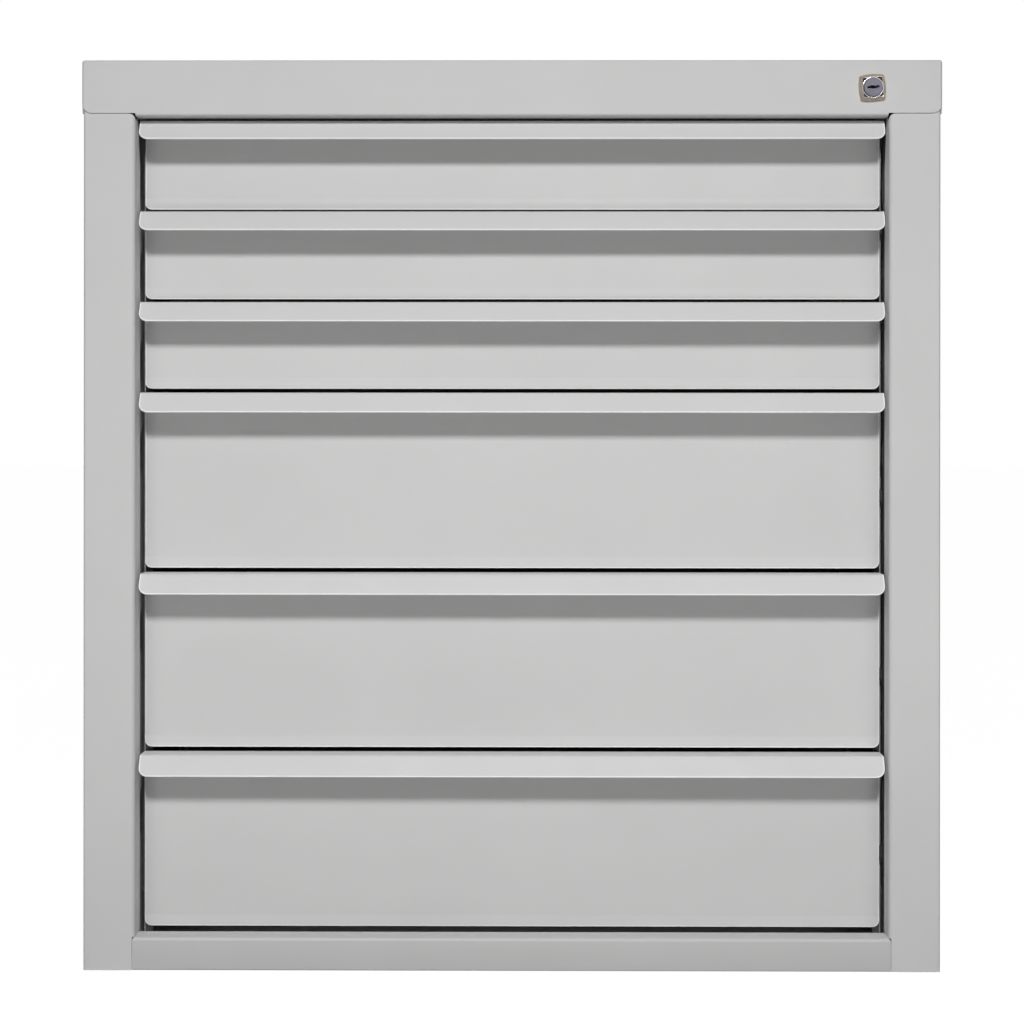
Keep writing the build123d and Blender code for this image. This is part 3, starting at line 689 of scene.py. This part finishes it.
def thicken(piece, thickness, rim=RIM, highlight_rims=True, angle=50):
    """Gives a sheet its thickness on the side that it faces, and rounds its cut rims.
    With its rim flag set, these take the piece's second material, a painted highlight."""
    if thickness:
        apply_modifier(piece, "SOLIDIFY", thickness=thickness * MM, offset=1, use_even_offset=True)
    apply_modifier(piece, "BEVEL", width=rim * MM, segments=2, limit_method="ANGLE",
                   angle_limit=math.radians(angle), material=1 if highlight_rims else -1)
    return piece


def smooth(piece, angle=35):
    only(piece)
    bpy.ops.object.shade_smooth_by_angle(angle=math.radians(angle))
    apply_modifier(piece, "WEIGHTED_NORMAL", keep_sharp=True, weight=50)
    return piece


def fit_piece(piece, body, slot_name, materials, *nodes):
    """Finishes a piece: its materials, the body that it rides on, and the nodes that it stands for."""
    dress(piece, *[bpy.data.materials[name] for name in materials])
    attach(piece, body)
    if nodes:
        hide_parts(*nodes)
    return piece


def coated_sheet(piece, body, finish, *nodes):
    """A powder-coated sheet, with a painted highlight on its rims and edge strips."""
    return fit_piece(smooth(piece), body, "grey_powder_coat", (finish, "rim_painted_highlight"), *nodes)


# ---------------- body


class CABINET_OT_cover(bpy.types.Operator):
    """Fold the top cover, with its return under the front"""

    bl_idname = "cabinet.cover"
    bl_label = "Top cover"

    def execute(self, context):
        low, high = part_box("top_cover")
        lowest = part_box("cover_return")[0].z
        front, flange = low.y, low.z
        cover = start_box("cover", (low.x, low.y, flange), high)
        mode("EDIT")
        delete_faces(facing((0, 0, -1)))
        pick("EDGE", lambda edge: running((0, 0, 1))(edge) or within(z=(high.z, high.z))(edge))
        bpy.ops.mesh.bevel(offset_type="OFFSET", offset=BODY_FOLD * MM, segments=5, affect="EDGES")
        fold_y = front + BODY_FOLD * MM
        front_sheet = within(y=(front, fold_y), z=(flange, high.z - BODY_FOLD * MM))
        for _, side in SIDES:
            centre = Vector((side * (high.x - COVER_CORNER * MM), front, flange + COVER_CORNER * MM))
            trim_corner(front_sheet, centre, COVER_CORNER, side, -1)
            cut(facing((0, -1, 0)), (side * RETURN_HALF * MM, 0, 0), (1, 0, 0))
        middle = within(x=(-RETURN_HALF * MM, RETURN_HALF * MM), y=(front, front), z=(flange, flange))
        extrude_edges(middle, (0, 0, lowest - flange))
        edge = within(y=(front, front), z=(lowest, lowest))
        extrude_edges(edge, (0, (RETURN_REACH - COVER_FACE_DEPTH) * MM, 0))
        round_edges(edge, COVER_FOLD * MM)
        mode("OBJECT")
        apply_modifier(cover, "SOLIDIFY", thickness=SHEET * MM, offset=-1, use_even_offset=True)
        lock = lock_centre()
        begin, length = [value * MM for value in COVER_DRILL]
        rods = [start_rod("lock_hole", Vector((lock.x, front + begin, lock.z)), LOCK_HOLE * MM, length)]
        for x in COVER_SCREWS:
            place = Vector((x * MM, high.y + begin, COVER_SCREW_HEIGHT * MM))
            rods.append(start_rod("screw_hole", place, SCREW_HOLE * MM, length, 24))
        drill(cover, join(*rods))
        thicken(cover, 0)
        coated_sheet(cover, "carcass", "body_coat_painted_shade", "top_cover", "cover_return")
        return {"FINISHED"}


class CABINET_OT_sides(bpy.types.Operator):
    """Fold the side panels with their posts and rear flanges"""

    bl_idname = "cabinet.sides"
    bl_label = "Side panels"

    def execute(self, context):
        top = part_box("side_panel_right")[1].z / MM
        path = ((OPENING_HALF, RETURN_DEPTH, 0), (OPENING_HALF, 0, POST_FOLD), (WIDTH / 2, 0, BODY_FOLD),
                (WIDTH / 2, DEPTH, BODY_FOLD), (WIDTH / 2 - REAR_FLANGE, DEPTH, 0))
        panel = bend_sheet("side_sheet_right", standing, (0, top), path)
        fold_end = (OPENING_HALF + POST_FOLD) * MM
        fold = within(x=(OPENING_HALF * MM, fold_end))
        rail_line = (RAIL_TOP + RAIL_GAP) * MM
        mode("EDIT")
        cut(fold, (0, 0, rail_line), (0, 0, -1), True)
        cut(facing((0, 1, 0), y=(POST_FACE, POST_FACE)), (0, 0, rail_line), (0, 0, -1))
        extrude_edges(running((0, 0, 1), x=(fold_end, fold_end), z=(0, rail_line)),
                      (POST_FLAT_HALF * MM - fold_end, 0, 0))
        centre = Vector(((OPENING_HALF + POST_CORNER) * MM, 0, (POST_TOP - POST_CORNER) * MM))
        trim_corner(fold, centre, POST_CORNER, -1, 1)
        cut(fold, (0, 0, POST_TOP * MM), (0, 0, 1), True)
        wall = (WIDTH / 2 * MM, WIDTH / 2 * MM)
        limits = [POST_FACE + depth * MM for depth in FLANGE_DEPTH]
        for limit in limits:
            cut(facing((-1, 0, 0), x=wall), (0, limit, 0), (0, 1, 0))
        edge = running((0, 1, 0), x=wall, y=limits, z=(top * MM, top * MM))
        extrude_edges(edge, (-TOP_FLANGE * MM, 0, 0))
        round_edges(edge, FLANGE_FOLD * MM, 4)
        mode("OBJECT")
        near, far = [x * MM for x in LOWER_FLANGE]
        flange = start_box("lower_flange", (near, limits[0], SHEET * MM), (far, limits[1], 2 * SHEET * MM))
        apply_modifier(panel, "SOLIDIFY", thickness=SHEET * MM, offset=1, use_even_offset=True)
        begin, length = [value * MM for value in PANEL_DRILL]
        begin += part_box("back_panel")[1].y
        rods = [start_rod("hole", Vector((FASTENER_LINE * MM, begin, height * MM)), FASTENER_HOLE * MM,
                          length, 24) for height in (*RIVET_HEIGHTS, COVER_SCREW_HEIGHT)]
        drill(panel, join(*rods))
        thicken(join(panel, flange), 0)
        mirrored = mirror_piece(panel, "side_sheet_left")
        coated_sheet(panel, "carcass", "body_coat_painted_shade", "side_panel_right")
        coated_sheet(mirrored, "carcass", "body_coat_painted_shade", "side_panel_left")
        return {"FINISHED"}


class CABINET_OT_rail(bpy.types.Operator):
    """Fold the bottom rail, with an ear behind each post"""

    bl_idname = "cabinet.rail"
    bl_label = "Bottom rail"

    def execute(self, context):
        path = ((RAIL_DEPTH, RAIL_TOP - RAIL_LIP, 0), (RAIL_DEPTH, RAIL_TOP, BODY_FOLD),
                (0, RAIL_TOP, RAIL_FOLD), (0, 0, FOOT_FOLD), (RAIL_DEPTH, 0, 0))
        rail = bend_sheet("rail_sheet", level, (-RAIL_HALF, RAIL_HALF), path)
        mode("EDIT")
        front = within(y=(POST_FACE, POST_FACE + RAIL_FOLD * MM), z=(FOOT_FOLD * MM, RAIL_TOP * MM))
        for _, side in SIDES:
            centre = Vector((side * (RAIL_HALF - RAIL_CORNER) * MM, 0, (RAIL_TOP - RAIL_CORNER) * MM))
            trim_corner(front, centre, RAIL_CORNER, side, 1)
        mode("OBJECT")
        thicken(rail, SHEET)
        ears = []
        for _, side in SIDES:
            left, right = sorted(side * x for x in EAR_SPAN)
            ears.append(start_box("ear", level(left, SHEET, EAR_HEIGHTS[0]),
                                  level(right, 2 * SHEET, EAR_HEIGHTS[1])))
        join(rail, *[thicken(ear, 0) for ear in ears])
        coated_sheet(rail, "carcass", "rail_coat_painted_shade", "bottom_rail")
        return {"FINISHED"}


# ---------------- drawers


class CABINET_OT_fronts(bpy.types.Operator):
    """Fold the drawer fronts, with the kicked band below and the lip above"""

    bl_idname = "cabinet.fronts"
    bl_label = "Drawer fronts"

    def execute(self, context):
        patterns = {}
        for number in DRAWERS:
            node = f"drawer_front_{number}"
            front = one_per_height(patterns, f"front_sheet_{number}", *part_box(node), self.fold_front)
            coated_sheet(front, f"drawer_{number}", "front_coat", node)
        return {"FINISHED"}

    def fold_front(self, name, low, high):
        bottom, top = low.z / MM, high.z / MM
        back = FRONT_DEPTH + FRONT_SHEET
        path = ((back - BAND_KICK, bottom, 0), (back, bottom + BAND_HEIGHT, BAND_FOLD),
                (back, top, LIP_FOLD), (LIP_TOP_DEPTH, top, LIP_FOLD), (LIP_EDGE_DEPTH, top - LIP_FACE, 0))
        front = bend_sheet(name, level, (-FRONT_HALF, FRONT_HALF), path, 8)
        mode("EDIT")
        for _, side in SIDES:
            round_corner(level(side * FRONT_HALF, back - BAND_KICK, bottom), BAND_CORNER * MM)
            round_corner(level(side * FRONT_HALF, LIP_EDGE_DEPTH, top - LIP_FACE), LIP_CORNER * MM)
        mark_highlight_strip(HIGHLIGHT_STRIP * MM)
        mode("OBJECT")
        thicken(front, FRONT_SHEET, FRONT_RIM)
        hems = []
        for _, side in SIDES:
            left, right = sorted((side * FRONT_HALF, side * (FRONT_HALF - SHEET)))
            hem = start_box("hem", level(left, back + HEM_DEPTHS[0], bottom + BAND_HEIGHT + HEM_ENDS[0]),
                            level(right, back + HEM_DEPTHS[1], top + HEM_ENDS[1]))
            hems.append(thicken(hem, 0))
        for sheet in (front, *hems):
            dress(sheet, bpy.data.materials["front_coat"], bpy.data.materials["rim_painted_highlight"])
        return join(front, *hems)


class CABINET_OT_trays(bpy.types.Operator):
    """Press the drawer trays with their rolled rims"""

    bl_idname = "cabinet.trays"
    bl_label = "Drawer trays"

    def execute(self, context):
        patterns = {}
        for number in DRAWERS:
            node = f"drawer_tray_{number}"
            tray = one_per_height(patterns, f"tray_pan_{number}", *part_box(node), self.press_tray)
            smooth(tray)
            fit_piece(tray, f"drawer_{number}", "grey_powder_coat", ("tray_coat", "rim_painted_highlight"), node)
        return {"FINISHED"}

    def press_tray(self, name, low, high):
        """A pan whose rim turns in and down all round."""
        middle = (low + high) / 2
        half = (high - low) / 2
        inward = ((half.x - TRAY_RIM * MM) / half.x, (half.y - TRAY_RIM * MM) / half.y, 1)
        tray = start_box(name, low, high)
        mode("EDIT")
        round_edges(running((0, 0, 1)), TRAY_CORNER * MM, 5)
        delete_faces(facing((0, 0, 1)))
        extrude_edges(within(z=(high.z, high.z)), (0, 0, 0))
        bpy.ops.transform.resize(value=inward, center_override=middle)
        extrude_edges(lambda edge: edge.is_boundary, (0, 0, -TRAY_ROLL * MM))
        at_top = within(z=(high.z, high.z))
        round_edges(lambda edge: at_top(edge) and any(abs(face.normal.z) < 0.5 for face in edge.link_faces),
                    ROLL_FOLD * MM, 3)
        round_edges(within(z=(low.z, low.z)), TRAY_FOLD * MM, 4)
        mode("OBJECT")
        apply_modifier(tray, "SOLIDIFY", thickness=TRAY_SHEET * MM, offset=-1, use_even_offset=True)
        return thicken(tray, 0, THIN_RIM)


class CABINET_OT_slides(bpy.types.Operator):
    """Roll the ball-bearing slides: three channels a side, with rows of balls between them"""

    bl_idname = "cabinet.slides"
    bl_label = "Slides"

    def execute(self, context):
        run = (SLIDE_START, SLIDE_START + SLIDE_LENGTH)
        outer, middle, inner = (self.roll(name, run, limits, opens_in) for name, limits, opens_in in (
            ("outer_channel", OUTER_CHANNEL, True), ("middle_channel", MIDDLE_CHANNEL, True),
            ("inner_channel", INNER_CHANNEL, False)))
        balls = self.fill_cages()
        lines = [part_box(f"slide_middle_{number}")[0].z + MIDDLE_CHANNEL[2] * MM for number in DRAWERS]
        for side, turned in SIDES:
            rows = [copy_piece(outer, "outer_row", (0, 0, line)) for line in lines]
            row = join(*rows)
            if turned < 0:
                right = row
                row = mirror_piece(right, "left_row")
                bpy.data.objects.remove(right)
            name_piece(row, f"slide_outer_set_{side}")
            self.plate(row, "carcass", f"slide_outer_{side}")
        for number, line in zip(DRAWERS, lines):
            for pattern, name, body, node in (
                    (middle, "middle_pair", f"slides_{number}", f"slide_middle_{number}"),
                    (inner, "inner_pair", f"drawer_{number}", f"slide_inner_{number}")):
                right = copy_piece(pattern, f"{name}_{number}", (0, 0, line))
                left = mirror_piece(right, "left_half")
                self.plate(join(right, left), body, node)
            right = copy_piece(balls, f"ball_rows_{number}", (0, 0, line))
            row = join(right, mirror_piece(right, "left_half"))
            only(row)
            bpy.ops.object.shade_smooth()
            fit_piece(row, f"slides_{number}", "bright_steel", ("ball_steel",))
        for pattern in (outer, middle, inner, balls):
            bpy.data.objects.remove(pattern)
        return {"FINISHED"}

    def roll(self, name, run, limits, opens_in):
        """One channel on the right at height 0."""
        near, far, half = limits
        if not opens_in:
            near, far, half = far, near, -half
        path = [(near, -half, 0), (far, -half, SLIDE_FOLD), (far, half, SLIDE_FOLD), (near, half, 0)]
        channel = bend_sheet(name, lengthwise, (run[1], run[0]), path, 5)
        return thicken(channel, SHEET, THIN_RIM, False)

    def plate(self, piece, body, node):
        smooth(piece)
        fit_piece(piece, body, "zinc_plated_steel", ("slide_zinc",), node)

    def fill_cages(self):
        """The balls above and below the inner one of two channels, on the right at height 0."""
        balls = []
        for outer, inner, (first, radius, inset) in ((OUTER_CHANNEL, MIDDLE_CHANNEL, OUTER_BALLS),
                                                     (MIDDLE_CHANNEL, INNER_CHANNEL, INNER_BALLS)):
            height = (outer[2] - SHEET + inner[2]) / 2
            for place in range(BALL_COUNT):
                for up in (1, -1):
                    spot = lengthwise(SLIDE_START + first + BALL_PITCH * place, inner[1] - inset, up * height)
                    balls.append(start("ball", bpy.ops.mesh.primitive_ico_sphere_add, subdivisions=2,
                                       radius=radius * MM, location=spot))
        return join(*balls)


# ---------------- lock


class CABINET_OT_lock(bpy.types.Operator):
    """Shape the square rosette, sunk behind its ridge, and the collar around the plug"""

    bl_idname = "cabinet.lock"
    bl_label = "Lock"

    def execute(self, context):
        finish = [bpy.data.materials[name] for name in ("nickel", "nickel_painted_recess_shade", "collar_steel")]
        centre = lock_centre()
        low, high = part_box("lock_bezel")
        self.axis = Vector((centre.x, low.y, centre.z))
        ridge = high.y - (ROSETTE_BASE + FACET_DEPTH) * MM
        rosette = self.outline(ridge)
        extrude_faces((0, FACET_DEPTH * MM, 0))
        bpy.ops.transform.resize(value=(ROSETTE_SPREAD, 1, ROSETTE_SPREAD), center_override=self.axis)
        bpy.ops.transform.tosphere(value=ROSETTE_BOW)
        extrude_faces((0, ROSETTE_BASE * MM, 0))
        pick("FACE", within(y=(ridge, ridge)))
        for scale, depth in ROSETTE_STEPS:
            extrude_faces((0, depth * MM, 0))
            bpy.ops.transform.resize(value=(scale, 1, scale), center_override=self.axis)
        # The recess faces take the second material, the painted shade.
        bpy.ops.mesh.select_more()
        give_slot(1)
        select_all()
        bpy.ops.mesh.normals_make_consistent(inside=False)
        round_edges(self.on_diagonal, DIAGONAL_FOLD * MM, 3)
        select_all()
        bpy.ops.transform.rotate(value=math.radians(ROSETTE_TILT), orient_axis="Y", center_override=centre)
        bpy.ops.transform.translate(value=(0, 0, ROSETTE_RAISE * MM))
        mode("OBJECT")
        self.bore(rosette, COLLAR_RADIUS - COLLAR_OVERLAP)
        collar = start_rod("collar", self.axis + Vector((0, COLLAR_SET_BACK * MM, 0)), COLLAR_RADIUS * MM,
                           COLLAR_LENGTH * MM, 96)
        self.bore(collar, COLLAR_BORE)
        thicken(collar, 0, COLLAR_RIM, False, 60)
        thicken(rosette, 0, ROSETTE_RIM, False, 28)
        dress(rosette, *finish[:2])
        dress(collar, finish[2])
        smooth(join(rosette, collar), 30)
        fit_piece(rosette, "carcass", "satin_nickel", [material.name for material in finish], "lock_bezel")
        return {"FINISHED"}

    def outline(self, front):
        """The square ridge, from which the facets slope back, filled, in edit mode."""
        half = RIDGE_HALF * MM
        corner = Vector((self.axis.x - half, front, self.axis.z - half))
        piece = start_plane("rosette", corner, Vector((2 * half, 0, 0)), Vector((0, 0, 2 * half)))
        mode("EDIT")
        select_all()
        bpy.ops.mesh.delete(type="ONLY_FACE")
        select_all()
        bpy.ops.mesh.subdivide(number_cuts=ROSETTE_CUTS)
        bpy.ops.mesh.edge_face_add()
        return piece

    def on_diagonal(self, edge):
        """Passes the edges that run from corner to corner of the nested squares."""
        return all(abs(abs(corner.co.x - self.axis.x) - abs(corner.co.z - self.axis.z)) < TOUCH
                   for corner in edge.verts)

    def bore(self, piece, radius):
        begin, length = [value * MM for value in BEZEL_DRILL]
        drill(piece, start_rod("drill", self.axis + Vector((0, begin, 0)), radius * MM, length, 96))


# ---------------- studio


def area_lamp(name, place, target, size, power):
    """A rectangular lamp that looks at a point."""
    lamp = bpy.data.lights.new(name, "AREA")
    lamp.shape = "RECTANGLE"
    lamp.size, lamp.size_y = size
    lamp.energy = power
    made = bpy.data.objects.new(name, lamp)
    bpy.context.scene.collection.objects.link(made)
    turn = (Vector(target) - Vector(place)).to_track_quat("-Z", "Y")
    made.matrix_world = Matrix.Translation(place) @ turn.to_matrix().to_4x4()
    return made


def seen_mask(tree):
    """1 where the camera sees a surface itself, or in gloss or through glass."""
    path = tree.nodes.new("ShaderNodeLightPath").outputs
    return math_node(tree, "MAXIMUM", path["Is Camera Ray"],
                     math_node(tree, "MAXIMUM", path["Is Glossy Ray"], path["Is Transmission Ray"]))


def floor_material():
    """A pale floor that keeps a faint shadow and is otherwise as white as the backdrop."""
    material = bpy.data.materials.new("pale_floor")
    material.use_nodes = True
    tree = material.node_tree
    tree.nodes.clear()
    diffuse = add_node(tree, "ShaderNodeBsdfDiffuse", {"Color": (FLOOR_GREY, FLOOR_GREY, FLOOR_GREY, 1)})
    white = add_node(tree, "ShaderNodeEmission", {"Color": (1, 1, 1, 1), "Strength": FLOOR_WHITE})
    share = math_node(tree, "MULTIPLY", seen_mask(tree), FLOOR_SHARE)
    mixed = add_node(tree, "ShaderNodeMixShader", {0: share, 1: diffuse.outputs[0], 2: white.outputs[0]})
    output = tree.nodes.new("ShaderNodeOutputMaterial")
    tree.links.new(mixed.outputs[0], output.inputs["Surface"])
    return material


def light_world(ambient):
    """White to the eye, and a weak even light on everything."""
    world = bpy.data.worlds.new("studio_world")
    bpy.context.scene.world = world
    world.use_nodes = True
    tree = world.node_tree
    tree.nodes.clear()
    strength = map_range(tree, seen_mask(tree), 0.0, 1.0, ambient, 1.0)
    background = add_node(tree, "ShaderNodeBackground", {"Color": (1, 1, 1, 1), "Strength": strength})
    output = tree.nodes.new("ShaderNodeOutputWorld")
    tree.links.new(background.outputs[0], output.inputs["Surface"])


def place_camera(studio):
    """The camera of the photograph's view, in front of the cabinet at drawer height."""
    data = bpy.data.cameras.new("camera")
    data.sensor_fit = "HORIZONTAL"
    data.sensor_width = 36.0
    data.lens = data.sensor_width * studio.focal_pixels / IMAGE_SIZE
    data.shift_x = (IMAGE_SIZE / 2 - studio.centre_x) / IMAGE_SIZE
    data.shift_y = (studio.centre_y - IMAGE_SIZE / 2) / IMAGE_SIZE
    camera = bpy.data.objects.new("camera", data)
    bpy.context.scene.collection.objects.link(camera)
    place = (studio.camera_x, POST_FACE - studio.camera_distance, studio.camera_height)
    yaw = Matrix.Rotation(studio.camera_yaw, 4, "Z") @ Matrix.Rotation(math.radians(90), 4, "X")
    camera.matrix_world = Matrix.Translation(place) @ yaw @ Matrix.Rotation(studio.camera_roll, 4, "Z")
    bpy.context.scene.camera = camera


class CABINET_OT_studio(bpy.types.Operator):
    """Set up the floor, the lights, the world and the camera"""

    bl_idname = "cabinet.studio"
    bl_label = "Studio"

    def execute(self, context):
        studio = settings("cabinet_studio")
        bpy.ops.object.select_all(action="DESELECT")
        bpy.ops.mesh.primitive_plane_add(size=FLOOR_SIZE)
        floor = context.object
        floor.name = "floor"
        floor.data.materials.append(floor_material())
        for x, share in KEY_SHARES:
            area_lamp("key_lamp", (x, POST_FACE - LAMP_DISTANCE, KEY_HEIGHT),
                      (x, POST_FACE - KEY_AIM_DISTANCE, 0), KEY_SIZE, studio.key_power * share)
        area_lamp("second_lamp", (0, POST_FACE - LAMP_DISTANCE, SECOND_HEIGHT),
                  (0, POST_FACE, SECOND_AIM_HEIGHT), SECOND_SIZE, studio.second_power)
        for _, side in SIDES:
            area_lamp("low_lamp", (side * LOW_X, POST_FACE - LOW_DISTANCE, LOW_HEIGHT),
                      (0, POST_FACE, LOW_HEIGHT), LOW_SIZE, studio.fill_power)
        light_world(studio.ambient)
        place_camera(studio)
        context.scene.view_settings.view_transform = "Standard"
        return {"FINISHED"}


# ---------------- the add-on


class CABINET_PT_panel(bpy.types.Panel):
    """Lists the steps that dress the cabinet"""

    bl_label = "Drawer cabinet"
    bl_idname = "CABINET_PT_panel"
    bl_space_type = "VIEW_3D"
    bl_region_type = "UI"
    bl_category = "Cabinet"

    def draw(self, context):
        for operator in STEPS:
            self.layout.operator(operator.bl_idname)


SETTINGS = {"cabinet_finish": CabinetFinish, "cabinet_studio": CabinetStudio}
STEPS = (CABINET_OT_finishes, CABINET_OT_cover, CABINET_OT_sides, CABINET_OT_rail, CABINET_OT_fronts,
         CABINET_OT_trays, CABINET_OT_slides, CABINET_OT_lock, CABINET_OT_studio)


def register():
    for group in (*SETTINGS.values(), *STEPS, CABINET_PT_panel):
        bpy.utils.register_class(group)
    for name, group in SETTINGS.items():
        setattr(bpy.types.Scene, name, PointerProperty(type=group))


def unregister():
    for name in SETTINGS:
        delattr(bpy.types.Scene, name)
    for group in reversed((*SETTINGS.values(), *STEPS, CABINET_PT_panel)):
        bpy.utils.unregister_class(group)


def main():
    register()
    for step in STEPS:
        area, name = step.bl_idname.split(".")
        getattr(getattr(bpy.ops, area), name)()


if __name__ == "__main__":
    main()
